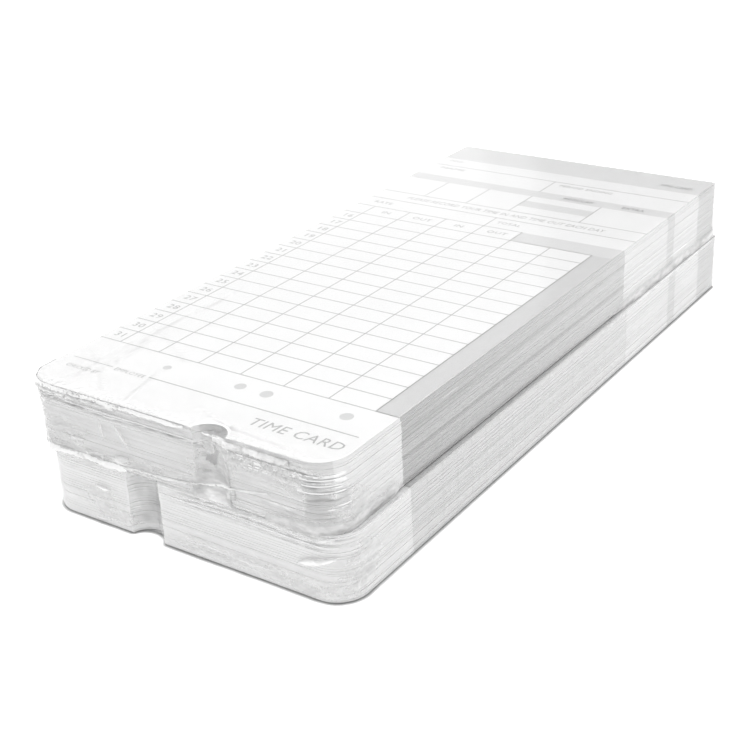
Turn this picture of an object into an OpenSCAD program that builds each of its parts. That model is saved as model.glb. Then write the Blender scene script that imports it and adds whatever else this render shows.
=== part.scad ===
// Two shrink-wrapped packs of time clock cards, one resting on the other.
// Each pack holds fifty notched cards in its own clear film. The upper pack lies face up.
// The lower pack is turned over about its long axis, so its notch is mirrored.
// Frame: +Z up, X across the cards, +Y towards the heading end, notches at the -Y end.
// Origin: centre of the base. Millimetres.

/* [Card] */
// Width of a card
card_w = 82.55; // [60:0.05:120]
// Length of a card
card_l = 187.3; // [150:0.1:230]
// Thickness of the card stock
card_t = 0.305; // [0.25:0.005:0.4]
// Air between one card and the next
card_gap = 0.009; // [0.005:0.001:0.03]
// Radius of the two rounded corners at the notched end
near_corner_r = 7; // [1:0.5:8]
// Radius of the two corners at the heading end
far_corner_r = 0.8; // [0.5:0.1:4]
// How far the cards are out of line with each other, either way
card_slip = 0.12; // [0:0.02:0.3]

/* [Notch] */
// Width of the notch at the card's edge
notch_w = 9.1; // [5:0.1:14]
// Depth of the notch
notch_d = 3.6; // [1.5:0.1:4.5]
// Distance of the notch from the card's centreline
notch_x = 11.4; // [0:0.1:14]

/* [Pack] */
// Cards in one pack
cards = 50; // [40:2:50]
// Wall of the film
film_t = 0.1; // [0.06:0.02:0.2]
// Air between the film and the card stack, above and below it
film_gap = 0.06; // [0.04:0.01:0.1]
// How far the film is drawn into the notch, as a share of the notch's depth
film_draw = 0.6; // [0.2:0.05:0.7]

/* [Stack] */
// How far the upper pack is set to the left of the lower one
shift_x = 1.1; // [0:0.1:4]
// How far the upper pack is set towards the notched end
shift_y = 0.5; // [0:0.1:4]
// Turn of the upper pack about the vertical, in degrees
upper_turn = -0.3; // [-1:0.1:1]
// Air between the two packs
pack_gap = 0.03; // [0.02:0.01:0.1]

/* [Hidden] */
$fn = 48;
pitch = card_t + card_gap;
stack_h = (cards - 1) * pitch + card_t;
// The film stands this far outside the card's outline, clear of the card that slips furthest.
film_in = card_slip + 0.06;
film_out = film_in + film_t;
pack_h = stack_h + 2 * (film_gap + film_t);
stack_z = film_t + film_gap;
// The film's own notch is narrower than the cards', so it clears the card that slips furthest.
film_notch_w = notch_w - 2 * card_slip - 0.6;
film_notch_d = film_draw * notch_d;
film_notch_r = arc_r(film_notch_w, film_notch_d);

// Radius of a circle's arc whose chord is w and whose rise is d.
function arc_r(w, d) = (w * w / 4 + d * d) / (2 * d);

function two(n) = n < 10 ? str("0", n) : str(n);
// One node holds the face card, one the last card, and each of the others two cards.
function pair_name(pack, n) = str(pack, "_cards_", two(n), "_", two(n + 1));
function pack_nodes(pack) = [
    str(pack, "_film_wrap"),
    str(pack, "_face_card_01"),
    for (n = [2 : 2 : cards - 2]) pair_name(pack, n),
    str(pack, "_back_card_", two(cards))
];

// Outline of a card grown by g on every side, with a notch of radius r and depth d.
module outline(g, r, d) {
    hw = card_w / 2 + g;
    hl = card_l / 2 + g;
    rn = near_corner_r + g;
    rf = far_corner_r + g;
    difference() {
        union() {
            translate([-hw, -hl + rn]) square([2 * hw, 2 * hl - rn - rf]);
            translate([-hw + rn, -hl]) square([2 * (hw - rn), rn]);
            translate([-hw + rf, hl - rf]) square([2 * (hw - rf), rf]);
            for (s = [-1, 1]) {
                translate([s * (hw - rn), -hl + rn]) circle(r = rn);
                translate([s * (hw - rf), hl - rf]) circle(r = rf);
            }
        }
        translate([notch_x, -hl + d - r]) circle(r = r);
    }
}

// Card n of a pack, counted from 1 at the printed face down.
module card(n, seed) {
    slip = rands(-card_slip, card_slip, 2 * cards, seed);
    z = stack_z + (cards - n) * pitch;
    translate([slip[2 * n - 2], slip[2 * n - 1], z])
        linear_extrude(card_t) outline(0, arc_r(notch_w, notch_d), notch_d);
}

// Closed skin of film round one pack.
module film() {
    difference() {
        linear_extrude(pack_h) outline(film_out, film_notch_r, film_notch_d);
        translate([0, 0, film_t])
            linear_extrude(pack_h - 2 * film_t)
                outline(film_in, film_notch_r + film_t, film_notch_d);
    }
}

// Puts a pack's own piece where the lower pack lies: turned over, face down.
module in_lower() {
    translate([shift_x / 2, shift_y / 2, pack_h]) rotate([0, 180, 0]) children();
}

// Puts a pack's own piece where the upper pack lies: face up.
module in_upper() {
    translate([-shift_x / 2, -shift_y / 2, pack_h + pack_gap]) rotate([0, 0, upper_turn]) children();
}

module lower_film_wrap() {
    color([0.95, 0.95, 0.95, 0.35]) in_lower() film();
}

module upper_film_wrap() {
    color([0.95, 0.95, 0.95, 0.35]) in_upper() film();
}

module lower_card(n) {
    color([0.93, 0.93, 0.92]) in_lower() card(n, 7);
}

module upper_card(n) {
    color([0.93, 0.93, 0.92]) in_upper() card(n, 11);
}

lower_film_wrap();
lower_card(1);  // lower_face_card_01
lower_card(cards);
for (n = [2 : 2 : cards - 2])
    for (i = [0, 1]) lower_card(n + i);

upper_film_wrap();
upper_card(1);  // upper_face_card_01
upper_card(cards);
for (n = [2 : 2 : cards - 2])
    for (i = [0, 1]) upper_card(n + i);
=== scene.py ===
"""Two shrink-wrapped packs of time clock cards. The cards are the CAD's own solids with a
printed-card material. The printing is thin raised ink on the four outer cards, and each
film wrap is a creased skin built here in place of the CAD's plain one."""

import math

import bmesh
import bpy
import numpy as np
from mathutils import Matrix, Vector, noise


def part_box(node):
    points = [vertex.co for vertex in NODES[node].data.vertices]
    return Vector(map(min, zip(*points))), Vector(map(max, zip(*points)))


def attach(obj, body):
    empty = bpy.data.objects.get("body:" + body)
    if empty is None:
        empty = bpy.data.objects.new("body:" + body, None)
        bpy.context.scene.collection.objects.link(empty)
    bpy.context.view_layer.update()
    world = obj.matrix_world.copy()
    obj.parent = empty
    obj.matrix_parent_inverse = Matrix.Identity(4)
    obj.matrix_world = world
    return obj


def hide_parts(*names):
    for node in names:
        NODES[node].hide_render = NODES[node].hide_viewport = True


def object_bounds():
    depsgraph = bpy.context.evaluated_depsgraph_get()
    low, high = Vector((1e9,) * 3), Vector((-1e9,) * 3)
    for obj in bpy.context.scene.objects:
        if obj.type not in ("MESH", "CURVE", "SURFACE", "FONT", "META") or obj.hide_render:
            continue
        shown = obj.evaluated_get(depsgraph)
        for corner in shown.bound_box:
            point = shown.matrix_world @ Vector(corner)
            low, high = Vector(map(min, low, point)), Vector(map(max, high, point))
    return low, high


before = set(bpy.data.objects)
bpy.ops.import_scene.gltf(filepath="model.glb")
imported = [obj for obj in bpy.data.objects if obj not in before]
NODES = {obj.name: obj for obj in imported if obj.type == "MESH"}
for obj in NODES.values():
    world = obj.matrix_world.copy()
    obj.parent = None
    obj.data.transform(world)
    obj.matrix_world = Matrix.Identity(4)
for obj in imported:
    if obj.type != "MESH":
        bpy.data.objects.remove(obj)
cad_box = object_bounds()

MM = 0.001

# ---------------------------------------------------------------- printed form
# Places on a card's printed face, in millimetres. Across: from the left edge as it is read.
# Along: from the heading edge, or where the name says so from the notched edge.
HEADING_BAND = 12.4
NAME_LINE = 19.0
THIN_BAND = (28.7, 33.3)
BOXES_END = 46.6
TITLE_END = 53.2
LABELS_END = 60.2
GRID_ROWS = 16
GRID_PITCH = 6.05
GRID_END_FROM_NOTCH_EDGE = 23.75
DAY_COLUMN = 6.2
GRID_COLUMN = 11.77
GRID_COLUMNS = 6
HALF = DAY_COLUMN + 3 * GRID_COLUMN
WIDE_BOX_END = 63.0
SMALL_BAND = (37.3, 41.8)
SIGN_LINE_FROM_NOTCH_EDGE = 13.0
# A rule's width, the ink's thickness, and how far short of the card's edges the ink stops.
RULE = 0.26
INK = 0.015
INSET = 0.02
# Each dot on the footer: across, from the notched edge, radius.
DOTS = ((25.2, 18.6, 1.0), (45.3, 19.2, 1.35), (52.5, 19.0, 1.5), (73.0, 19.0, 1.5))


def card_pose(node):
    """(matrix, width, length, bottom, top) of a card, read from its own mesh. The matrix takes
    a place on the card, from its middle, to the frame. Lengths are in metres."""
    at = np.array([v.co[:] for v in NODES[node].data.vertices])
    best = None
    for turn in np.radians(np.linspace(-1.5, 1.5, 301)):
        across = at[:, 0] * math.cos(turn) + at[:, 1] * math.sin(turn)
        if best is None or np.ptp(across) < best[0]:
            best = (np.ptp(across), turn, across)
    width, turn, across = best
    along = -at[:, 0] * math.sin(turn) + at[:, 1] * math.cos(turn)
    middle = ((across.min() + across.max()) / 2, (along.min() + along.max()) / 2)
    place = Matrix.Rotation(turn, 4, "Z") @ Matrix.Translation((*middle, 0))
    return place, width, np.ptp(along), at[:, 2].min(), at[:, 2].max()


# ---------------------------------------------------------------- materials
def material(name):
    """A material with only its Principled node, and that node."""
    m = bpy.data.materials.new(name)
    m.use_nodes = True
    return m, m.node_tree.nodes["Principled BSDF"]


def add(tree, kind, **values):
    """A node of that kind. Values are its inputs by name, or its settings."""
    n = tree.nodes.new(kind)
    for key, value in values.items():
        name = key.replace("_", " ")
        if name in n.inputs:
            n.inputs[name].default_value = value
        else:
            setattr(n, key, value)
    return n


def maths(tree, operation, a, b=None, c=None):
    """The output of a Math node. Each of a, b and c is a socket or a number."""
    n = tree.nodes.new("ShaderNodeMath")
    n.operation = operation
    for i, value in enumerate((a, b, c)):
        if value is None:
            continue
        if isinstance(value, (int, float)):
            n.inputs[i].default_value = value
        else:
            tree.links.new(value, n.inputs[i])
    return n.outputs[0]


def clamped(tree, value):
    """The socket's value, kept between 0 and 1."""
    return maths(tree, "MINIMUM", maths(tree, "MAXIMUM", value, 0.0), 1.0)


def grey(tree, level):
    """A neutral colour as light as the socket's value."""
    colour = tree.nodes.new("ShaderNodeCombineColor")
    for channel in colour.inputs:
        tree.links.new(level, channel)
    return colour.outputs[0]


def split(tree, vector):
    """The three parts of a vector socket."""
    parts = tree.nodes.new("ShaderNodeSeparateXYZ")
    tree.links.new(vector, parts.inputs[0])
    return parts.outputs


def grain(tree, place, scale, detail, roughness):
    """A noise over the piece. scale is how many times a metre it repeats along each axis."""
    stretch = add(tree, "ShaderNodeMapping", vector_type="POINT")
    stretch.inputs["Scale"].default_value = scale
    tree.links.new(place.outputs["Object"], stretch.inputs[0])
    pattern = add(tree, "ShaderNodeTexNoise", Scale=1.0, Detail=detail, Roughness=roughness)
    tree.links.new(stretch.outputs[0], pattern.inputs[0])
    return pattern.outputs[0]


def between(tree, value, low, high):
    """1 where the socket's value lies between low and high, and 0 elsewhere."""
    return maths(
        tree,
        "MULTIPLY",
        maths(tree, "GREATER_THAN", value, low),
        maths(tree, "LESS_THAN", value, high),
    )


# How light bare card is, and how much of that its printed bands take away at a cut edge.
PAPER = 0.93
BAND_INK = 0.17
# The darkest that a card's edge gets.
DARKEST = 0.12
# How fine the streaks, patches and long painted shade lines on the cut edges are, and the print
# on card.
STREAKS = (40, 3.5, 2600)
PATCHES = (60, 6, 520)
RECESS_SHADE_LINES = (10, 1.6, 900)
FIBRES = (900, 900, 900)
MOTTLE = (700, 700, 700)
# A rule's width where it runs off at a cut edge, and how far bands wander from card to card,
# in millimetres.
CUT_RULE = 0.4
WANDER = 1.2
# A face is a side or an end where this much of its normal points there.
FACING = 0.6


def card_stock(name, length, y_heading, dark_side, dark, light, end_shade):
    """White card whose cut edges show where the printing runs off them. dark_side is the side,
    +1 or -1 in X, where the grey margin runs off; the rules run off the other. dark and light
    are how much darker each side is than bare card, and the last is how much painted shade
    darkens the notched end."""
    m, p = material(name)
    t = m.node_tree
    place = add(t, "ShaderNodeTexCoord")
    x, y, _ = split(t, place.outputs["Object"])
    normal_x, normal_y, _ = split(t, place.outputs["Normal"])
    on_side = maths(t, "GREATER_THAN", maths(t, "ABSOLUTE", normal_x), FACING)
    on_end = maths(t, "LESS_THAN", normal_y, -FACING)

    # Streaks along the stack, since no two cards are cut quite alike.
    streak = grain(t, place, STREAKS, 2.0, 0.6)
    streak_sway = maths(t, "SUBTRACT", streak, 0.5)
    patch = grain(t, place, PATCHES, 3.0, 0.55)
    # A few long lines of painted shade, where a card stands back from its neighbours.
    recess_lines = grain(t, place, RECESS_SHADE_LINES, 1.0, 0.4)
    recess_shade = clamped(t, maths(t, "MULTIPLY_ADD", recess_lines, 6.0, -3.5))

    # Distance from the heading edge, moved a little from card to card.
    wobble = maths(t, "MULTIPLY", streak_sway, WANDER * MM)
    along = maths(t, "ADD", maths(t, "SUBTRACT", y_heading, y), wobble)
    end = length - GRID_END_FROM_NOTCH_EDGE * MM
    margin = between(t, along, LABELS_END * MM, end)
    # The heading band leaves the most ink of the bands.
    bands = maths(
        t,
        "ADD",
        maths(t, "MULTIPLY", maths(t, "LESS_THAN", along, HEADING_BAND * MM), 1.4),
        between(t, along, THIN_BAND[0] * MM, THIN_BAND[1] * MM),
    )
    row = maths(t, "MODULO", maths(t, "SUBTRACT", end, along), GRID_PITCH * MM)
    rules = maths(t, "MULTIPLY", maths(t, "LESS_THAN", row, CUT_RULE * MM), margin)
    dark_here = maths(t, "GREATER_THAN", maths(t, "MULTIPLY", x, float(dark_side)), 0)
    depth = maths(t, "MULTIPLY_ADD", dark_here, dark - light, light)
    # The ink on the cut edge is heavier towards the notched end.
    depth = maths(t, "MULTIPLY", depth, maths(t, "MULTIPLY_ADD", along, 0.95 / length, 0.42))
    margin_ink = maths(t, "MULTIPLY", margin, depth)
    rule_ink = maths(t, "MULTIPLY", rules, maths(t, "MULTIPLY_ADD", dark_here, -0.05, 0.07))
    ink = maths(t, "ADD", maths(t, "MULTIPLY", bands, BAND_INK), margin_ink)
    ink = maths(t, "ADD", ink, rule_ink)
    # Ink makes the streaks between cards show more than bare card does.
    rough = maths(
        t,
        "ADD",
        maths(t, "MULTIPLY", streak_sway, 0.30),
        maths(t, "MULTIPLY", maths(t, "SUBTRACT", patch, 0.5), 0.55),
    )
    strength = maths(t, "MULTIPLY_ADD", margin_ink, 1.3, 0.1)
    # The painted shade lines are stronger where the margin ink is.
    recess_shade = maths(t, "MULTIPLY", recess_shade, maths(t, "MULTIPLY_ADD", margin_ink, 0.8, 0.03))
    ink = maths(t, "ADD", ink, recess_shade)
    ink = maths(t, "ADD", ink, maths(t, "MULTIPLY", rough, strength))
    ink = maths(t, "MULTIPLY", maths(t, "MAXIMUM", ink, 0.0), on_side)
    # The notched end face is darkened in patches: painted shade.
    end_shade_patches = maths(t, "MULTIPLY", maths(t, "MULTIPLY_ADD", patch, 0.8, 0.6), on_end)
    ink = maths(t, "ADD", ink, maths(t, "MULTIPLY", end_shade_patches, end_shade))

    fibre = grain(t, place, FIBRES, 4.0, 0.6)
    tooth = maths(t, "MULTIPLY_ADD", fibre, 0.04, PAPER - 0.02)
    tone = maths(t, "MAXIMUM", maths(t, "SUBTRACT", tooth, ink), DARKEST)
    t.links.new(grey(t, tone), p.inputs["Base Color"])
    p.inputs["Roughness"].default_value = 0.55
    p.inputs["Specular IOR Level"].default_value = 0.3
    bump = add(t, "ShaderNodeBump", Strength=0.08, Distance=0.02 * MM)
    t.links.new(fibre, bump.inputs["Height"])
    t.links.new(bump.outputs[0], p.inputs["Normal"])
    return m


def ink_material(name, tone, spread):
    """Flat grey ink with the faint mottle of print on card."""
    m, p = material(name)
    t = m.node_tree
    place = add(t, "ShaderNodeTexCoord")
    mottle = grain(t, place, MOTTLE, 3.0, 0.6)
    level = maths(t, "MULTIPLY_ADD", mottle, 2 * spread, tone - spread)
    t.links.new(grey(t, level), p.inputs["Base Color"])
    p.inputs["Roughness"].default_value = 0.6
    p.inputs["Specular IOR Level"].default_value = 0.25
    return m


# How much painted shade darkens the film where it is seen edge-on along a fold, how glossy it
# is and the most that it mirrors, how milky where creased, how hazy everywhere, and how much
# painted shade darkens it where it is folded double or laid over a shaded hollow.
FILM_EDGE_ON_SHADE = 0.5
FILM_GLOSS = 1.5
FILM_MIRROR = 0.5
FILM_MILK = 0.33
FILM_HAZE = 0.02
FILM_FOLD_SHADE = 0.4
FILM_IOR = 1.5
# The most of what is behind it that the film hides, and the most that it lets through.
FILM_HIDES = 0.9
FILM_PASSES = 0.985
# How fine its haze is.
HAZE = (160, 160, 420)


def film_material():
    """Clear shrink film: see-through, with a gloss that grows towards the edge of a fold, and
    milky where it is slack and creased. Where it is seen edge-on, folded double or laid over a
    shaded hollow, it is darkened with painted shade."""
    m, p = material("wrap_film_clear")
    t = m.node_tree
    place = add(t, "ShaderNodeTexCoord")
    haze = grain(t, place, HAZE, 4.0, 0.65)
    patchy = clamped(t, maths(t, "MULTIPLY_ADD", haze, 3.0, -1.0))
    slack = add(t, "ShaderNodeAttribute", attribute_name="slack").outputs["Fac"]
    milk = maths(t, "MULTIPLY", maths(t, "MULTIPLY_ADD", patchy, 0.65, 0.35), slack)
    p.inputs["Base Color"].default_value = (0.97, 0.97, 0.97, 1)
    milky = clamped(t, milk)
    t.links.new(maths(t, "MULTIPLY_ADD", milky, 0.3, 0.12), p.inputs["Roughness"])
    mirror = maths(t, "MAXIMUM", maths(t, "MULTIPLY_ADD", slack, -0.7, 0.7), 0.0)
    t.links.new(mirror, p.inputs["Metallic"])
    # Seen along a fold, the film lets less through: painted shade for its dark folds.
    steep = add(t, "ShaderNodeLayerWeight", Blend=0.5).outputs["Facing"]
    edge_on_shade = maths(t, "MULTIPLY", maths(t, "POWER", steep, 3.0), FILM_EDGE_ON_SHADE)
    passed = maths(t, "SUBTRACT", FILM_PASSES, maths(t, "MULTIPLY_ADD", milky, 0.08, edge_on_shade))
    # Where it is folded double or laid over a shaded hollow, the film is darkened: painted
    # shade.
    fold_shading = clamped(t, maths(t, "MULTIPLY", slack, -1.0))
    passed = maths(t, "SUBTRACT", passed, maths(t, "MULTIPLY", fold_shading, FILM_FOLD_SHADE))
    clear = add(t, "ShaderNodeBsdfTransparent")
    t.links.new(grey(t, passed), clear.inputs["Color"])
    # Seen squarely, the film mirrors very little.
    gloss = maths(t, "SUBTRACT", add(t, "ShaderNodeFresnel", IOR=FILM_IOR).outputs[0], 0.03)
    share = maths(t, "MINIMUM", maths(t, "MULTIPLY", gloss, FILM_GLOSS), FILM_MIRROR)
    veil = maths(t, "MAXIMUM", maths(t, "MULTIPLY", milk, FILM_MILK), 0.0)
    share = maths(t, "ADD", share, maths(t, "ADD", veil, FILM_HAZE))
    share = maths(t, "MINIMUM", share, FILM_HIDES)
    mix = add(t, "ShaderNodeMixShader")
    t.links.new(share, mix.inputs[0])
    t.links.new(clear.outputs[0], mix.inputs[1])
    t.links.new(p.outputs[0], mix.inputs[2])
    t.links.new(mix.outputs[0], t.nodes["Material Output"].inputs["Surface"])
    return m


# ---------------------------------------------------------------- building blocks
def in_scene(name, data):
    """A new object with that data, in the scene."""
    o = bpy.data.objects.new(name, data)
    bpy.context.collection.objects.link(o)
    return o


def piece(name, mesh, mat, body):
    """Puts a mesh in the scene as a piece that rides on a body."""
    o = in_scene(name, mesh)
    mesh.materials.append(mat)
    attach(o, body)
    return o


def lettering(words, size):
    """A mesh of some generic lettering, its middle at the origin, in millimetres."""
    curve = bpy.data.curves.new("lettering", "FONT")
    curve.body = words
    curve.size = size
    curve.extrude = INK / 2
    curve.resolution_u = 2
    curve.space_character = 1.06
    curve.align_x, curve.align_y = "CENTER", "CENTER"
    o = in_scene("lettering", curve)
    graph = bpy.context.evaluated_depsgraph_get()
    mesh = bpy.data.meshes.new_from_object(o.evaluated_get(graph))
    bpy.data.objects.remove(o)
    return mesh


class Sheet:
    """Collects one tone of ink for one printed face, in millimetres from its top left corner
    as it is read, and makes it one mesh."""

    def __init__(self, width, length):
        self.width, self.length = width, length
        self.mesh = bmesh.new()

    def block(self, x0, x1, y0, y1):
        x0, x1 = max(x0, INSET), min(x1, self.width - INSET)
        made = bmesh.ops.create_cube(self.mesh, size=1)["verts"]
        move = Matrix.Translation(((x0 + x1) / 2, -(y0 + y1) / 2, INK / 2))
        grow = Matrix.Diagonal((x1 - x0, y1 - y0, INK, 1))
        bmesh.ops.transform(self.mesh, matrix=move @ grow, verts=made)

    def across(self, x0, x1, y, wide=RULE):
        self.block(x0, x1, y - wide / 2, y + wide / 2)

    def down(self, x, y0, y1, wide=RULE):
        self.block(x - wide / 2, x + wide / 2, y0, y1)

    def dot(self, x, y, r):
        made = bmesh.ops.create_cone(
            self.mesh, cap_ends=True, segments=32, radius1=r, radius2=r, depth=INK
        )["verts"]
        move = Matrix.Translation((x, -y, INK / 2))
        bmesh.ops.transform(self.mesh, matrix=move, verts=made)

    def words(self, words, x, y, size, stretch=1.0, slant=0.0):
        """Lettering whose middle is at x, y."""
        mesh = lettering(words, size)
        lean = Matrix(((stretch, slant, 0, x), (0, 1, 0, -y), (0, 0, 1, INK / 2), (0, 0, 0, 1)))
        mesh.transform(lean)
        self.mesh.from_mesh(mesh)
        bpy.data.meshes.remove(mesh)

    def finish(self, name, place):
        mesh = bpy.data.meshes.new(name)
        self.mesh.to_mesh(mesh)
        self.mesh.free()
        mesh.transform(place)
        return mesh


def print_face(node, body, up, days, footer):
    """Prints the form on one outer card, on its upper face or its lower one."""
    place, width, length, bottom, top = card_pose(node)
    w, h = width / MM, length / MM
    light, margin, dark = Sheet(w, h), Sheet(w, h), Sheet(w, h)
    grid_end = h - GRID_END_FROM_NOTCH_EDGE
    grid_top = grid_end - GRID_ROWS * GRID_PITCH
    columns = [DAY_COLUMN + i * GRID_COLUMN for i in range(GRID_COLUMNS + 1)]

    light.block(0, w, INSET, HEADING_BAND)
    light.block(0, w, *THIN_BAND)
    light.block(HALF, WIDE_BOX_END, *SMALL_BAND)
    light.block(columns[4], w, LABELS_END, grid_top)
    margin.block(columns[6], w, grid_top, grid_end)

    dark.across(1.0, w, NAME_LINE)
    dark.down(HALF, NAME_LINE, THIN_BAND[0])
    for x in (HALF / 3, 2 * HALF / 3, HALF, WIDE_BOX_END):
        dark.down(x, THIN_BAND[1], BOXES_END)
    for y in (BOXES_END, TITLE_END):
        dark.across(0, w, y)
    dark.across(0, columns[4], LABELS_END)
    dark.down(HALF, TITLE_END, LABELS_END)
    for i in range(GRID_ROWS + 1):
        dark.across(0, columns[6], grid_end - i * GRID_PITCH)
    for i, x in enumerate(columns):
        dark.down(x, grid_top if i > 4 else LABELS_END, grid_end)
    dark.across(columns[6], w, grid_end)

    dark.words("NO.", 5.6, 14.6, 2.3, 1.2)
    dark.words("NAME", 8.2, 21.6, 2.3, 1.3)
    dark.words("PERIOD ENDING", 52.5, 21.6, 2.3, 0.92)
    dark.words("TIME CARD", 74.2, 8.6, 2.4, 0.75)
    dark.words("REGULAR", 55.0, 31.1, 2.3, 0.9)
    dark.words("EXTRA", 71.5, 31.1, 2.3, 0.9)
    dark.words(
        "PLEASE RECORD YOUR TIME IN AND TIME OUT EACH DAY",
        w / 2, 49.9, 2.75, 0.80, 0.12,
    )
    dark.words("RATE", 6.6, 56.6, 2.2, 1.1)
    dark.words("TOTAL", 47.0, 56.3, 2.2)
    for i, word in enumerate(("IN", "OUT", "IN", "OUT")):
        at = columns[i] + GRID_COLUMN / 2
        dark.words(word, at, (LABELS_END + grid_top) / 2, 2.5, 1.1)
    for i in range(days[1] - days[0] + 1):
        y = grid_top + (i + 0.5) * GRID_PITCH
        dark.words(str(days[0] + i), 3.5, y, 3.0, 1.1)
    if footer:
        for x, y, r in DOTS:
            margin.dot(x, h - y, r)
        sign_line = h - SIGN_LINE_FROM_NOTCH_EDGE
        dark.across(24.9, w - 2.4, sign_line, 0.3)
        dark.across(2.4, 14.2, sign_line, 0.2)
        dark.words("EMPLOYEE", 19.6, h - 12.6, 1.9, 0.95)
        dark.words("CHECKED BY", 8.6, h - 9.2, 1.9, 0.8)
        dark.words("TIME CARD", 68.6, h - 8.0, 4.3, 1.0, 0.1)

    corner = Matrix.Translation((-w / 2, h / 2, 0))
    if not up:
        corner = Matrix.Rotation(math.pi, 4, "Y") @ corner
    level = Matrix.Translation((0, 0, top if up else bottom))
    place = level @ place @ Matrix.Diagonal((MM, MM, MM, 1)) @ corner
    side = node.replace("_card", "").replace("_01", "").replace("_50", "")
    for sheet, what, ink, slot in (
        (light, "grey_bands", INK_LIGHT, "light_print"),
        (margin, "grey_margin", INK_MARGIN, "light_print"),
        (dark, "rules_and_labels", INK_DARK, "dark_print"),
    ):
        name = f"{side}_{what}"
        piece(name, sheet.finish(name, place), ink, body)


# ---------------------------------------------------------------- film
# The film's edge radius, how far it stands off the cards, and its corners' radii at the notched
# end and the far one.
FILM_R = 0.55 * MM
GAP = 0.24 * MM
NEAR_CORNER = 7.2 * MM
FAR_CORNER = 1.1 * MM
NOTCH_WIDTH = 8.8 * MM
# Spacing of its points along the outline: at the notched end, on the rest of the ends, and
# along the sides. Then rows of points up the wall, round each edge, and in each cap.
FINE_STEP = 0.32 * MM
SIDE_STEP = 0.8 * MM
COARSE_STEP = 1.6 * MM
WALL_ROWS = 50
ROUND_ROWS = 4
CAP_ROWS = 10
LOOSE_CAP_ROWS = 36
# The share of each side, next to the notched end, where its points are closer together.
FINE_SHARE = 0.2
# Points closer than this are joined.
WELD = 0.004 * MM
# Spacing of points along a loose flap, rows across it, and its thickness, in millimetres.
FLAP_STEP = 0.35
FLAP_ACROSS = 6
FLAP_WALL = 0.04


def outline(w, h, near_r, far_r, notch_x, notch_w, notch_d):
    """Closed outline of the film, anticlockwise from the notched end's left corner, as points
    and outward normals. Points are close together at the notched end."""
    hw, hl = w / 2, h / 2
    raw = []

    def line(a, b, step):
        n = max(1, round(math.dist(a, b) / step))
        dx, dy = (b[0] - a[0]) / n, (b[1] - a[1]) / n
        raw.extend((a[0] + dx * i, a[1] + dy * i) for i in range(n))

    def arc(cx, cy, radius, start):
        n = max(4, round(radius * math.pi / 2 / FINE_STEP))
        for i in range(n):
            a = math.radians(start + 90 * i / n)
            raw.append((cx + radius * math.cos(a), cy + radius * math.sin(a)))

    arc(-hw + near_r, -hl + near_r, near_r, 180)
    # A smooth dip in place of the notch's own sharp shoulders.
    n = round((w - 2 * near_r) / FINE_STEP)
    for i in range(n):
        x = -hw + near_r + (w - 2 * near_r) * i / n
        gap = abs(x - notch_x) / (notch_w / 2)
        raw.append((x, -hl + (notch_d * (1 - gap**2.2) ** 0.6 if gap < 1 else 0.0)))
    arc(hw - near_r, -hl + near_r, near_r, 270)
    bend = -hl + FINE_SHARE * h
    line((hw, -hl + near_r), (hw, bend), SIDE_STEP)
    line((hw, bend), (hw, hl - far_r), COARSE_STEP)
    arc(hw - far_r, hl - far_r, far_r, 0)
    line((hw - far_r, hl), (-hw + far_r, hl), SIDE_STEP)
    arc(-hw + far_r, hl - far_r, far_r, 90)
    line((-hw, hl - far_r), (-hw, bend), COARSE_STEP)
    line((-hw, bend), (-hw, -hl + near_r), SIDE_STEP)
    p = np.array(raw)
    along = np.roll(p, -1, axis=0) - np.roll(p, 1, axis=0)
    along /= np.linalg.norm(along, axis=1)[:, None]
    return p, np.stack([along[:, 1], -along[:, 0]], axis=1)


def bell(value, centre, spread):
    """1 at the centre, falling smoothly to 0 on both sides."""
    return math.exp(-(((value - centre) / spread) ** 2))


def ramp(value, start, length):
    """0 up to the start, rising evenly to 1 over the length."""
    return max(0.0, min(1.0, (value - start) / length))


def ridged(x, y, seed):
    """Long creases: 1 on thin lines, falling to 0 between them."""
    return 1 - min(1.0, 2.4 * abs(noise.noise(Vector((x, y, 31.7 * seed)))))


def crumple(x, y, seed):
    """Crumpled film: facets that meet in sharp lines, in two sizes, from 0 to about 1."""
    large = abs(noise.noise(Vector((x + 0.5 * y, y - 0.4 * x, 9.3 * seed))))
    small = abs(noise.noise(Vector((2.6 * x - y, 2.2 * y + 0.8 * x, 5.1 * seed))))
    return 1 - 1.5 * large - 0.8 * small


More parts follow.
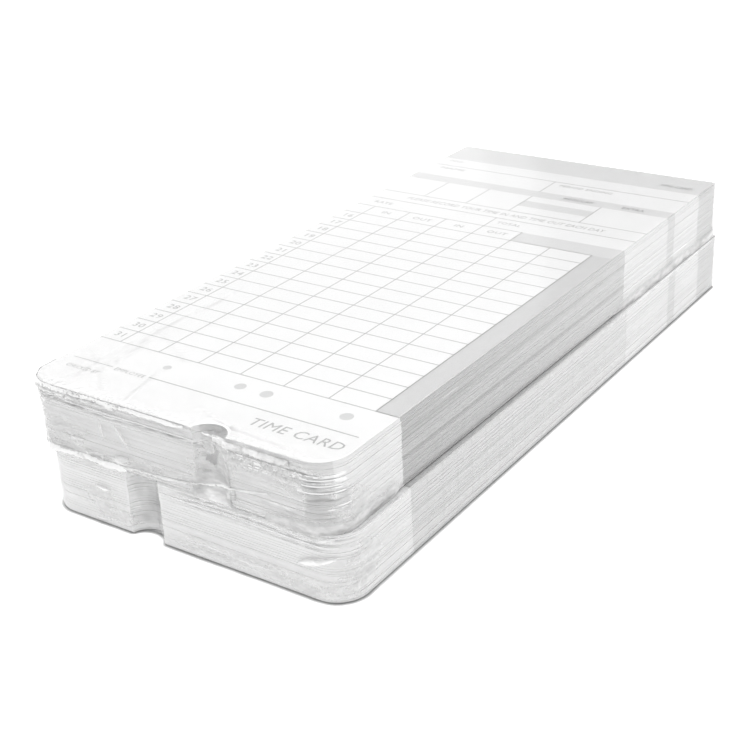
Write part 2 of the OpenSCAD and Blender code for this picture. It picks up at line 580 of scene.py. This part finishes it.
# What the film does at the notched end, in millimetres. "run" is the distance along the
# outline from the middle of that end, to the right as it is faced. Heights are from the
# pack's base, and the last number of each is how far the film stands out.
UPPER_FEATURES = {
    # (run, height, spread in run, spread in height, length of folds, their pitch, out)
    "gathers": (
        (-24.0, 14.8, 20.0, 0.9, 6.0, 1.3, 0.5),
        (-38.0, 12.0, 5.0, 2.5, 2.2, 1.4, 0.25),
        (-24.0, 1.6, 18.0, 1.2, 4.5, 1.2, 0.5),
        (8.0, 3.6, 14.0, 1.3, 7.0, 1.5, 0.35),
        (-30.0, 6.5, 10.0, 3.0, 5.0, 2.2, 0.22),
        (-8.0, 2.6, 10.0, 1.4, 5.0, 1.4, 0.3),
        (37.0, 9.0, 8.0, 5.0, 13.0, 1.3, 0.2),
        (44.0, 3.0, 6.0, 3.4, 3.0, 1.8, 0.3),
    ),
    # (run, height, spread in run, spread in height, size of facets, out)
    "crumples": (
        (-31.0, 13.7, 9.0, 1.4, 1.2, 0.75),
        (-20.0, 15.5, 15.0, 0.8, 1.1, 0.7),
        (-33.0, 2.0, 5.0, 2.0, 1.8, 0.35),
        (11.4, 13.2, 3.4, 2.2, 1.5, 0.6),
        (22.0, 12.4, 8.5, 2.8, 1.6, 1.1),
        (34.0, 13.0, 6.0, 1.6, 1.7, 0.7),
        (15.0, 8.0, 5.0, 4.0, 3.0, 0.35),
        (46.0, 5.0, 5.0, 4.0, 1.8, 0.3),
    ),
    # ((run, height), (run, height), half width, out), and, for a smooth bulge, how bright its
    # painted highlight is.
    # Where "out" is negative, the film is pressed in as if folded double and darkened with
    # painted
    # shade: thin dark lines under folds and, where wide, over the shaded corner and notch.
    "creases": (
        ((-37, 13.4), (8, 13.0), 0.35, 0.35),
        ((-37, 14.2), (8, 13.9), 0.22, -0.2),
        ((-37, 12.6), (9, 12.2), 0.32, -0.4),
        ((-37, 11.9), (9, 11.6), 0.3, 0.25),
        ((-14.8, 11.2), (-11.6, 6.2), 0.6, 0.35, 1.6),
        ((-19.3, 11.2), (-18.4, 6.0), 0.6, 0.25, 1.0),
        ((-28.8, 4.3), (-24.6, 4.7), 0.45, 0.3, 2.2),
        ((-27.8, 3.4), (-24.8, 3.8), 0.35, 0.25, 2.0),
        ((-15.8, 2.7), (-11.2, 3.4), 0.7, 0.5, 2.6),
        ((26, 11.5), (36, 9.6), 0.4, 0.25),
        ((24, 8.5), (42, 8.0), 0.35, 0.22),
        ((31, 13.2), (44, 12.5), 0.3, -0.45),
        ((33, 12.1), (44, 11.6), 0.25, -0.45),
        ((34, 10.6), (43, 10.3), 0.4, -0.4),
        ((33, 9.2), (43, 9.0), 0.3, -0.35),
        ((35, 7.6), (43, 7.5), 0.4, -0.4),
        ((24, 4.2), (40, 3.2), 0.3, -0.25),
        ((38.0, 3.0), (37.0, 13.5), 3.4, -0.16),
        ((43.0, 4.5), (43.0, 10.5), 2.4, -0.16),
        ((11.4, 8.0), (12.2, 14.0), 3.0, -0.1),
        ((30, 3.4), (50, 2.6), 0.5, 0.25),
    ),
    # (run, height, half length, half height, out)
    "blisters": ((-13.6, 2.6, 2.0, 0.8, 0.4), (-31.6, 1.0, 1.0, 0.8, 0.3)),
    # (run, height, spread in run, out): small fins of film left at corners
    "ears": ((47.0, 15.0, 1.5, 0.25),),
    # (run, height, spread in run, spread in height, how milky): film that spans a hollow
    "veils": (
        (11.4, 5.5, 4.8, 5.5, 1.6),
        (11.4, 1.5, 6.0, 2.4, 1.4),
        (52.0, 8.0, 6.0, 9.0, 0.5),
    ),
}
LOWER_FEATURES = {
    "gathers": (
        (-30.0, 14.6, 14.0, 1.0, 4.0, 1.3, 0.35),
        (6.0, 2.2, 16.0, 1.7, 6.0, 1.6, 0.35),
        (14.0, 14.0, 26.0, 1.5, 22.0, 1.5, 0.25),
        (34.0, 2.6, 8.0, 2.4, 3.0, 1.6, 0.35),
        (46.0, 9.0, 6.0, 5.0, 9.0, 1.8, 0.25),
    ),
    "crumples": (
        (-28.0, 7.0, 9.0, 4.0, 2.6, 0.25),
        (-20.0, 3.0, 8.0, 2.0, 1.8, 0.3),
        (30.0, 3.2, 12.0, 2.2, 2.2, 0.22),
        (43.0, 6.0, 5.0, 5.0, 2.4, 0.3),
    ),
    "creases": (
        ((-3, 15.0), (44, 14.9), 0.3, -0.3),
        ((-12.2, 2.0), (-12.0, 15.6), 4.4, -0.25),
        ((-2, 13.8), (42, 13.6), 0.22, -0.35),
        ((-2, 12.7), (38, 12.3), 0.2, -0.25),
        ((-27.6, 9.6), (-23.0, 9.4), 0.45, 0.45, 2.8),
        ((-29.0, 1.3), (-24.0, 1.8), 0.5, 0.3, 1.5),
        ((-1, 4.2), (25, 3.8), 0.5, 0.35),
        ((0, 4.4), (11, 3.7), 0.6, 0.3, 1.4),
        ((13, 4.0), (23, 3.7), 0.5, 0.3, 1.1),
        ((29.6, 7.8), (38.8, 10.8), 0.85, 0.5, 3.5),
        ((34, 14.1), (39.5, 15.4), 0.5, 0.35, 2.4),
        ((42.4, 2.2), (43.4, 5.2), 0.45, 0.3, 2.2),
    ),
    "blisters": ((-27.0, 1.8, 1.6, 0.8, 0.3), (36.9, 2.0, 1.6, 0.6, 0.25)),
    "ears": ((46.0, 1.4, 1.6, 0.25),),
    "veils": (
        (-28.0, 6.0, 9.0, 6.0, 0.45),
        (10.0, 8.0, 18.0, 4.5, 0.5),
        (52.0, 8.0, 6.0, 9.0, 0.5),
    ),
}
# The far end is tighter. Here "run" is from the middle of that end.
FAR_FEATURES = {
    "gathers": (
        (0.0, 14.6, 34.0, 1.0, 9.0, 1.6, 0.25),
        (-8.0, 1.8, 30.0, 1.2, 7.0, 1.6, 0.25),
        (-38.0, 8.0, 5.0, 6.0, 5.0, 1.8, 0.25),
        (38.0, 8.0, 5.0, 6.0, 5.0, 1.8, 0.25),
    ),
    "crumples": ((-34.0, 11.0, 6.0, 3.0, 3.0, 0.3), (30.0, 5.0, 7.0, 3.0, 3.0, 0.3)),
    "creases": (
        ((-37, 8.6), (-4, 8.0), 0.45, 0.4),
        ((-6, 8.1), (36, 7.4), 0.45, 0.4),
        ((-30, 11.0), (-22, 12.0), 0.5, 0.3, 2.0),
        ((20, 4.0), (27, 4.6), 0.5, 0.3, 2.0),
    ),
    "blisters": (),
    "ears": (),
    "veils": (),
}
# How much of each side belongs to the far end, and how far from the middle of the notched end
# its own creases reach, along the outline, in millimetres.
FAR_END = 14.0
NEAR_END = 62.0
# The groove between the packs: how far its film reaches up or down from it, where along the
# pack it starts, and over how much it grows milky. All in millimetres, as is a pack's height.
PACK_HEIGHT = 16.0
GROOVE = 1.3
GROOVE_START = -55
GROOVE_GROWTH = 130
# Where film closes the groove, each as a start and a length to fade in over: on the left of the
# notched end and on its right corner, along the outline, and past the margin strip, along Y.
CLOSED_LEFT = (-52, 4)
CLOSED_CORNER = (22, 8)
CLOSED_PAST = (24, 14)
# Slack creases on the upper pack's top: (x, y) to (x, y) from the middle, and height.
TOP_CREASES = (
    ((-31.0, -92.0), (-30.0, -35.0), 0.16),
    ((-30.5, -66.0), (-26.5, -84.0), 0.16),
    ((-17.0, -78.0), (-11.0, -92.0), 0.18),
    ((-37.0, -78.0), (-20.0, -90.0), 0.14),
    ((-36.0, -60.0), (-12.0, -70.0), 0.08),
    ((4.0, -86.0), (30.0, -92.0), 0.12),
)
# Loose flaps of film: (run, height) at each end, how wide, how far the free edge droops, and
# how milky; a negative number is how much painted shade darkens it.
UPPER_FLAPS = (
    ((-43.0, 15.9), (5.0, 15.7), 0.8, 0.7, 4.5),
    ((-46.0, 14.6), (-14.0, 14.7), 0.8, 0.5, 3.5),
    ((-48.5, 15.95), (-42.5, 15.9), 1.7, 0.9, -0.35),
    ((-39.0, 1.1), (-13.0, 1.2), 1.1, 1.2, 4.5),
    ((-15.0, 1.2), (4.0, 2.4), 0.9, 0.4, 5.0),
    ((2.0, 2.3), (26.0, 6.2), 0.7, 0.3, 5.0),
    ((5.5, 3.4), (17.5, 4.8), 0.5, 2.8, 1.6),
    ((12.0, 15.2), (32.0, 15.2), 1.0, 1.2, 3.0),
    ((9.5, 14.6), (14.6, 14.9), 1.6, -0.9, 5.0),
)


def side_offset(run, up, features, seed):
    """How far the film stands out from the pack's side, in millimetres, and how slack it is. A
    smooth bulge raises the slack as a painted highlight; a negative slack is painted shade.
    """
    out = slack = fold_shade = painted_highlight = 0.0
    for at, high, wide, tall, long, pitch, stand in features["gathers"]:
        here = bell(run, at, wide) * bell(up, high, tall)
        if here > 0.02:
            out += stand * here * (ridged(run / long, up / pitch, seed + at) - 0.2)
            slack += here
    for at, high, wide, tall, size, stand in features["crumples"]:
        here = bell(run, at, wide) * bell(up, high, tall)
        if here > 0.02:
            out += stand * here * (crumple(run / size, up / size, seed + at) - 0.35)
            slack += here
    for (r0, u0), (r1, u1), wide, stand, *milk in features["creases"]:
        dr, du = r1 - r0, u1 - u0
        t = ((run - r0) * dr + (up - u0) * du) / (dr * dr + du * du)
        if (0 < t < 1) if milk else (-0.05 < t < 1.05):
            stray = noise.noise(Vector((run * 0.4, u0, seed)))
            sway = 0.3 * math.sin(9 * t + r0) + 0.25 * stray
            off = ((run - r0) * du - (up - u0) * dr) / math.hypot(dr, du) + sway
            fade = min(1.0, (0.55 - abs(t - 0.5)) / 0.15)
            ragged = 0.75 + 0.5 * noise.noise(Vector((run * 0.6, up * 0.2, seed + 2)))
            if milk:
                # A lens-shaped bulge, made milky white where it would catch the light: a
                # painted highlight.
                wide *= max(0.1, 4 * t * (1 - t))
                painted_highlight = max(painted_highlight, milk[0] * bell(off - sway, 0, wide))
                out += stand * bell(off - sway, 0, wide)
                continue
            out += stand * fade * ragged * bell(off, 0, wide)
            if stand > 0:
                slack += 0.5 * fade * bell(off, 0, 2 * wide)
            else:
                # A fold pressed in is darkened: painted shade.
                fold_shade = max(fold_shade, -2.4 * stand * fade * ragged * bell(off, 0, wide))
    for at, high, wide, tall, stand in features["blisters"]:
        out += stand * bell(run, at, wide) * bell(up, high, tall)
    slack = min(1.0, slack)
    for at, high, wide, tall, milk in features["veils"]:
        slack = max(slack, milk * bell(run, at, wide) ** 0.5 * bell(up, high, tall) ** 0.5)
    for at, high, wide, stand in features["ears"]:
        out += stand * bell(run, at, wide) * bell(up, high, 0.55)
    if painted_highlight > 0.3:
        return out, max(slack, painted_highlight)
    return out, slack if fold_shade < 0.15 else -fold_shade


def top_offset(x, y, w, half_l, notch_x, seed):
    """How far the upper pack's film stands off its top, in millimetres, and how slack it is. A
    negative slack is painted shade.
    """
    lift = fold_shade = 0.0
    for (ax, ay), (bx, by), high in TOP_CREASES:
        vx, vy = bx - ax, by - ay
        t = ((x - ax) * vx + (y - ay) * vy) / (vx * vx + vy * vy)
        off = ((x - ax) * vy - (y - ay) * vx) / math.hypot(vx, vy) + 1.2 * math.sin(3 * t + ax)
        fade = max(0.0, 1 - max(0.0, abs(t - 0.5) - 0.4) / 0.2)
        lift += high * fade * bell(off, 0, 0.7)
        # Beside each crease the film is darkened: a painted shade line.
        fold_shade = max(fold_shade, 2.0 * high * fade * bell(off, 0.5, 0.45))
    # It is a little loose all over, and ruffled along the notched edge.
    inside = min(1.0, (w / 2 - abs(x)) / 3)
    lift += 0.05 * (1 + noise.noise(Vector((x * 0.07, y * 0.05, seed)))) * inside
    edge = max(0.0, 1 - (y + half_l) / 3.5)
    lift += 0.45 * edge * ridged(x * 0.45, y * 0.6, seed)
    slack = 0.5 * max(0.0, 1 - (y + half_l) / 22) + 2.5 * lift
    # It sinks into the notch, and is darkened there with painted shade.
    hollow = min(1.0, 1.6 * bell(math.hypot(x - notch_x, 1.4 * (y + half_l - 1.6)), 0, 3.1))
    slack = -fold_shade if fold_shade > 0.06 else min(0.6, 0.5 * slack)
    return max(0.0, lift) - 0.9 * hollow, slack - 0.9 * hollow


def seam_cover(run, up, near, past, notch_x):
    """The upper pack's film near its base, where it hangs over the lower pack's right edge at
    both ends and over the foot of the notch: how far out, and how milky."""
    corner = near * ramp(run, *CLOSED_CORNER)
    if run > 0:
        corner = max(corner, 0.8 * past)
    hang = corner * max(0.0, 1 - up / 3.4)
    bridge = bell(run, notch_x, 4.4) * max(0.0, 1 - up / 4)
    milk = max(2.6 * min(1.0, 2 * bridge), 1.7 * min(1.0, 2 * hang))
    return 0.6 * hang + 0.9 * bridge, milk


def wall_offset(x, y, up, run, far, bend, end, notch_x, features, upper, seed):
    """How far the film stands out from the side at a point, how slack it is there and how far
    it sags, all in millimetres. far is the distance along the outline to the far end's middle,
    end is how far the pack's ends are from its middle, and bend is how far the film has turned
    inwards at the groove, if it has, in radians."""
    out = 0.05 * noise.noise(Vector((x * 0.05, y * 0.05, up * 0.16 + seed)))
    slack = 0.0
    if abs(run) < NEAR_END:
        stand, slack = side_offset(run, up, features, seed)
        out += stand
    elif y > end - FAR_END:
        stand, slack = side_offset(far if run < 0 else -far, up, FAR_FEATURES, seed + 20)
        out += stand
    # The slack films close the groove between the packs at the notched end, and again past
    # the margin strip.
    near = min(ramp(-run, -NEAR_END, 3), ramp(run, *CLOSED_LEFT))
    past = ramp(y, *CLOSED_PAST)
    if bend is not None:
        out += max(near, past) * (1 - math.cos(bend)) * FILM_R / MM
        slack = max(slack, 0.9 * near, 1.5 * past)
    if upper:
        stand, milk = seam_cover(run, up, near, past, notch_x)
        out += stand
        if milk > 0.1:
            slack = max(slack, milk)
    # Between the two they only fill it, more towards the far end.
    groove = up < GROOVE if upper else up > PACK_HEIGHT - GROOVE
    if groove and y > GROOVE_START:
        slack = max(slack, min(0.6, (y - GROOVE_START) / GROOVE_GROWTH))
    over_notch = bell(x, notch_x, 3.6) if y < 3 - end else 0.0
    # The upper pack's film sags over the notch, where nothing holds it up.
    sag = 1.7 * over_notch * ((up - 10) / 6) ** 2 if upper and up > 10 else 0.0
    return max(out, -0.14 - 0.8 * over_notch), slack, sag


def film_rows(upper):
    """The skin's rows, from the base's middle out, up the wall, and back to the top's middle:
    the part that each is on, and how far along it."""

    def cap(count):
        """Rings from the middle out, closer together near the edge."""
        return np.concatenate([[1.0], np.linspace(0.985, 0, count) ** 1.5])[:-1]

    rows = [("base", s) for s in cap(CAP_ROWS)]
    rows += [("low", a) for a in np.linspace(0, 90, ROUND_ROWS + 1)]
    rows += [("wall", t) for t in np.linspace(0, 1, WALL_ROWS + 1)[1:-1]]
    rows += [("high", a) for a in np.linspace(0, 90, ROUND_ROWS + 1)]
    rows += [("top", s) for s in cap(LOOSE_CAP_ROWS if upper else CAP_ROWS)[::-1]]
    return rows


def turned(kind, t):
    """How far an edge's row has turned from the wall, in radians."""
    return math.radians(t if kind == "high" else 90 - t)


def plain_skin(rows, path, normal, middle, z0, z1):
    """The skin before it is creased: a place for each row and each point of the outline."""
    points = np.zeros((len(rows), len(path), 3))
    inner = path - normal * FILM_R
    for (kind, t), row in zip(rows, points):
        if kind in ("base", "top"):
            row[:, :2] = inner + (middle - inner) * t
            row[:, 2] = z0 if kind == "base" else z1
        elif kind == "wall":
            row[:, :2] = path
            row[:, 2] = z0 + FILM_R + (z1 - z0 - 2 * FILM_R) * t
        else:
            a = turned(kind, t)
            up = FILM_R * math.sin(a)
            row[:, :2] = inner + normal * FILM_R * math.cos(a)
            row[:, 2] = z1 - FILM_R + up if kind == "high" else z0 + FILM_R - up
    return points


def film_mesh(name, place, w, h, z0, z1, notch_x, notch_d, features, flaps, upper, seed):
    """A closed skin round one pack, with its loose flaps. It hugs the sides, is gathered and
    crumpled at the notched end, and dips into the notch. place takes the pack's middle to the
    frame. A "slack" attribute says where the film is creased enough to look milky, where it is
    made milky as a painted highlight, and, where negative, how much painted shade darkens it."""
    path, normal = outline(
        w + 2 * GAP, h + 2 * GAP, NEAR_CORNER, FAR_CORNER, notch_x, NOTCH_WIDTH, notch_d
    )
    n = len(path)
    half_l = h / 2 + GAP
    middle = np.stack(
        [np.zeros(n), np.clip(path[:, 1], -h / 2 + w / 2, h / 2 - w / 2)], axis=1
    )
    # Distance along the outline from the middle of the notched end.
    step = np.linalg.norm(np.roll(path, -1, axis=0) - path, axis=1)
    run = np.concatenate([[0.0], np.cumsum(step)[:-1]])
    front = np.argmin(np.abs(path[:, 0]) + 10 * np.abs(path[:, 1] + half_l))
    total = run[-1] + step[-1]
    run = ((run - run[front] + total / 2) % total - total / 2) / MM

    rows = film_rows(upper)
    points = plain_skin(rows, path, normal, middle, z0, z1)
    slack = np.zeros((len(rows), n))
    seam_edge = "low" if upper else "high"
    for i, (kind, t) in enumerate(rows):
        if kind == "base" or (kind == "top" and not upper):
            continue
        bend = turned(kind, t) if kind == seam_edge else None
        for j in range(n):
            x, y, up = (points[i, j] - (0, 0, z0)) / MM
            if kind == "top":
                lift, slack[i, j] = top_offset(x, y, w / MM, half_l / MM, notch_x / MM, seed)
                points[i, j, 2] += lift * MM
                continue
            far = total / MM / 2 - abs(run[j])
            out, slack[i, j], sag = wall_offset(
                x, y, up, run[j], far, bend, h / MM / 2, notch_x / MM, features, upper, seed
            )
            points[i, j, :2] += normal[j] * out * MM
            points[i, j, 2] -= sag * MM

    verts = points.reshape(-1, 3).tolist()
    slacks = slack.reshape(-1).tolist()
    faces = []
    for i in range(len(rows) - 1):
        for j in range(n):
            k = (j + 1) % n
            faces.append((i * n + j, i * n + k, (i + 1) * n + k, (i + 1) * n + j))
    order = np.argsort(run)
    add_flaps(
        verts, slacks, faces, run[order], path[order], normal[order], z0, flaps, features, seed
    )
    mesh = bpy.data.meshes.new(name)
    mesh.from_pydata(verts, [], faces)
    layer = mesh.attributes.new("slack", "FLOAT", "POINT")
    layer.data.foreach_set("value", slacks)
    work = bmesh.new()
    work.from_mesh(mesh)
    bmesh.ops.remove_doubles(work, verts=work.verts, dist=WELD)
    bmesh.ops.recalc_face_normals(work, faces=work.faces)
    work.to_mesh(mesh)
    work.free()
    mesh.transform(place)
    mesh.shade_smooth()
    return mesh


def add_flaps(verts, slacks, faces, run, path, normal, z0, flaps, features, seed):
    """Adds each loose flap as a thin closed strip with a ruffled, ragged free edge."""
    for f, ((r0, u0), (r1, u1), wide, droop, milk) in enumerate(flaps):
        count = round((r1 - r0) / FLAP_STEP)
        first = len(verts)
        ring = 2 * (FLAP_ACROSS + 1)
        for i in range(count + 1):
            t = i / count
            at, up = r0 + (r1 - r0) * t, u0 + (u1 - u0) * t
            base = np.array([np.interp(at, run, path[:, a]) for a in (0, 1)])
            away = np.array([np.interp(at, run, normal[:, a]) for a in (0, 1)])
            away /= np.linalg.norm(away)
            ends = min(1.0, 8 * t, 8 * (1 - t))
            torn = 0.55 + 0.7 * abs(noise.noise(Vector((at * 0.8, f * 7.3, seed))))
            reach = wide * torn * (0.25 + 0.75 * ends)
            start = side_offset(at, up, features, seed)[0] - 0.1
            strip = []
            for j in range(FLAP_ACROSS + 1):
                s = j / FLAP_ACROSS
                ruffle = noise.noise(Vector((at * 0.22, s * 0.6, f * 3.1 + seed)))
                sharp = noise.noise(Vector((at * 0.8, s * 0.8, f * 5.7 + seed)))
                drop = droop * s**1.5 + s * (0.45 * ruffle + 0.18 * sharp)
                out = start + reach * s * (1 - 0.25 * s)
                strip.append((*(base + away * out * MM), z0 + (up - drop) * MM))
            for under in (0, FLAP_WALL):
                for x, y, z in strip if not under else reversed(strip):
                    verts.append((x, y, z - under * MM))
                    slacks.append(milk)
        for i in range(count):
            a, b = first + i * ring, first + (i + 1) * ring
            for j in range(ring):
                k = (j + 1) % ring
                faces.append((a + j, a + k, b + k, b + j))
        last = first + count * ring
        faces.append(tuple(first + j for j in reversed(range(ring))))
        faces.append(tuple(last + j for j in range(ring)))


# ---------------------------------------------------------------- the object
INK_LIGHT = ink_material("print_light_grey", 0.77, 0.02)
INK_MARGIN = ink_material("print_margin_grey", 0.69, 0.03)
INK_DARK = ink_material("print_dark_grey", 0.47, 0.04)

packs = {}
# Each pack's card stock: its dark side, then how dark its sides are, and how much painted shade
# darkens its notched end.
for pack, dark_side, dark, light, end_shade in (
    ("upper", 1, 0.3, 0.06, 0.12),
    ("lower", -1, 0.26, 0.13, 0.0),
):
    place, width, length, _, _ = card_pose(f"{pack}_face_card_01")
    heading = (place @ Vector((0, length / 2, 0))).y
    stock = card_stock(
        f"card_stock_{pack}", length, heading, dark_side, dark, light, end_shade
    )
    for name, node in NODES.items():
        if name.startswith(pack) and "_card" in name:
            node.data.materials.clear()
            node.data.materials.append(stock)
    packs[pack] = (place, width, length)

print_face("upper_face_card_01", "upper_pack", True, (16, 31), True)
print_face("upper_back_card_50", "upper_pack", False, (1, 15), False)
print_face("lower_face_card_01", "lower_pack", False, (16, 31), True)
print_face("lower_back_card_50", "lower_pack", True, (1, 15), False)

FILM = film_material()
NOTCH_X = 11.4 * MM
# Each pack's film: the side that its notch is on, how deep it dips there, its creases, its
# loose flaps, whether it is the upper one, and the seed of its noises.
for pack, side, dip, features, flaps, upper, seed in (
    ("upper", 1, 0.9 * MM, UPPER_FEATURES, UPPER_FLAPS, True, 3),
    ("lower", -1, 2.7 * MM, LOWER_FEATURES, (), False, 8),
):
    place, width, length = packs[pack]
    low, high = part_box(f"{pack}_film_wrap")
    mesh = film_mesh(
        f"{pack}_film", place, width, length, low[2] + 0.01 * MM, high[2] - 0.01 * MM,
        side * NOTCH_X, dip, features, flaps, upper, seed,
    )
    film = piece(f"{pack}_film", mesh, FILM, f"{pack}_pack")
    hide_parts(f"{pack}_film_wrap")

# ---------------------------------------------------------------- studio
# The floor's half width in metres, how brightly it glows, and how close to the stack, and how
# sharply, its glow fades into a painted contact shadow.
FLOOR_REACH = 60.0
FLOOR_GLOW = 1.1
CONTACT_SHADOW_REACH = 1.0 * MM
CONTACT_SHADOW_POWER = 3.0
# The backdrop's strength high up, and how much brighter it is at the horizon.
SKY = 0.55
HORIZON = 0.45


def area_light(name, place, aim, size, power):
    data = bpy.data.lights.new(name, "AREA")
    data.shape = "RECTANGLE"
    data.size, data.size_y = size
    data.energy = power
    o = in_scene(name, data)
    o.location = place
    o.rotation_euler = (Vector(aim) - Vector(place)).to_track_quat("-Z", "Y").to_euler()


floor_mesh = bpy.data.meshes.new("floor")
floor_mesh.from_pydata(
    [(x * FLOOR_REACH, y * FLOOR_REACH, 0) for x, y in ((-1, -1), (1, -1), (1, 1), (-1, 1))],
    [], [(0, 1, 2, 3)],
)
floor = in_scene("floor", floor_mesh)
floor.location.z = cad_box[0][2] - 0.02 * MM
floor_mat, floor_p = material("floor_white")
floor_p.inputs["Base Color"].default_value = (0.4, 0.4, 0.4, 1)
floor_p.inputs["Roughness"].default_value = 0.9
floor_p.inputs["Specular IOR Level"].default_value = 0.0
floor_p.inputs["Emission Color"].default_value = (1, 1, 1, 1)
# The glow keeps the floor white and fades in the last millimetre before the stack: a painted
# contact shadow.
floor_tree = floor_mat.node_tree
near = add(floor_tree, "ShaderNodeAmbientOcclusion", Distance=CONTACT_SHADOW_REACH, samples=8)
glow_with_contact_shadow = maths(floor_tree, "POWER", near.outputs["AO"], CONTACT_SHADOW_POWER)
glow_with_contact_shadow = maths(floor_tree, "MULTIPLY", glow_with_contact_shadow, FLOOR_GLOW)
floor_tree.links.new(glow_with_contact_shadow, floor_p.inputs["Emission Strength"])
floor_mesh.materials.append(floor_mat)

world = bpy.data.worlds.new("studio")
bpy.context.scene.world = world
world.use_nodes = True
world.node_tree.nodes["Background"].inputs["Color"].default_value = (1, 1, 1, 1)
# The studio's backdrop is white behind the floor's far edge and dimmer higher up.
sky = world.node_tree
sky_z = split(sky, add(sky, "ShaderNodeTexCoord").outputs["Generated"])[2]
low = clamped(sky, maths(sky, "MULTIPLY_ADD", sky_z, -5.0, 1.25))
backdrop = maths(sky, "MULTIPLY_ADD", low, HORIZON, SKY)
sky.links.new(backdrop, sky.nodes["Background"].inputs["Strength"])

# Each light's place, what it faces and its size, in metres, and its power in watts.
for light in (
    ("overhead_softbox", (-0.2, 0.3, 1.3), (0, 0, 0), (1.8, 1.8), 19.5),
    ("glare_softbox", (-0.89, 0.8, 0.5), (0, 0, 0.02), (0.95, 0.5), 0.65),
    ("glare_strip", (-0.86, 0.83, 0.3), (0, 0, 0.02), (0.7, 0.3), 0.2),
    ("front_strip", (-0.5, -0.7, 0.5), (0, -0.05, 0.01), (0.3, 0.5), 0.2),
    ("side_strip", (0.85, 0.6, 0.5), (0, 0.05, 0.01), (0.25, 0.6), 0.5),
):
    area_light(*light)

bpy.context.scene.view_settings.view_transform = "Standard"

# ---------------------------------------------------------------- camera
# A long lens from above the notched end's right corner, tipped a little to its left.
AZIMUTH, ELEVATION, ROLL = math.radians(35.39), math.radians(26.0), math.radians(-3.09)
DISTANCE = 332.4 * MM
AIM = Vector((6.2, -30.0, 16.0)) * MM
LENS, SENSOR = 66.96, 36.0

back = Vector((
    math.sin(AZIMUTH) * math.cos(ELEVATION),
    -math.cos(AZIMUTH) * math.cos(ELEVATION),
    math.sin(ELEVATION),
))
right = Vector((math.cos(AZIMUTH), math.sin(AZIMUTH), 0))
up = back.cross(right)
right, up = (
    right * math.cos(ROLL) + up * math.sin(ROLL),
    up * math.cos(ROLL) - right * math.sin(ROLL),
)
camera_data = bpy.data.cameras.new("camera")
camera_data.lens, camera_data.sensor_width = LENS, SENSOR
camera_data.clip_start, camera_data.clip_end = 0.01, 50
camera = in_scene("camera", camera_data)
turn = Matrix((right, up, back)).transposed().to_4x4()
camera.matrix_world = Matrix.Translation(AIM + back * DISTANCE) @ turn
bpy.context.scene.camera = camera
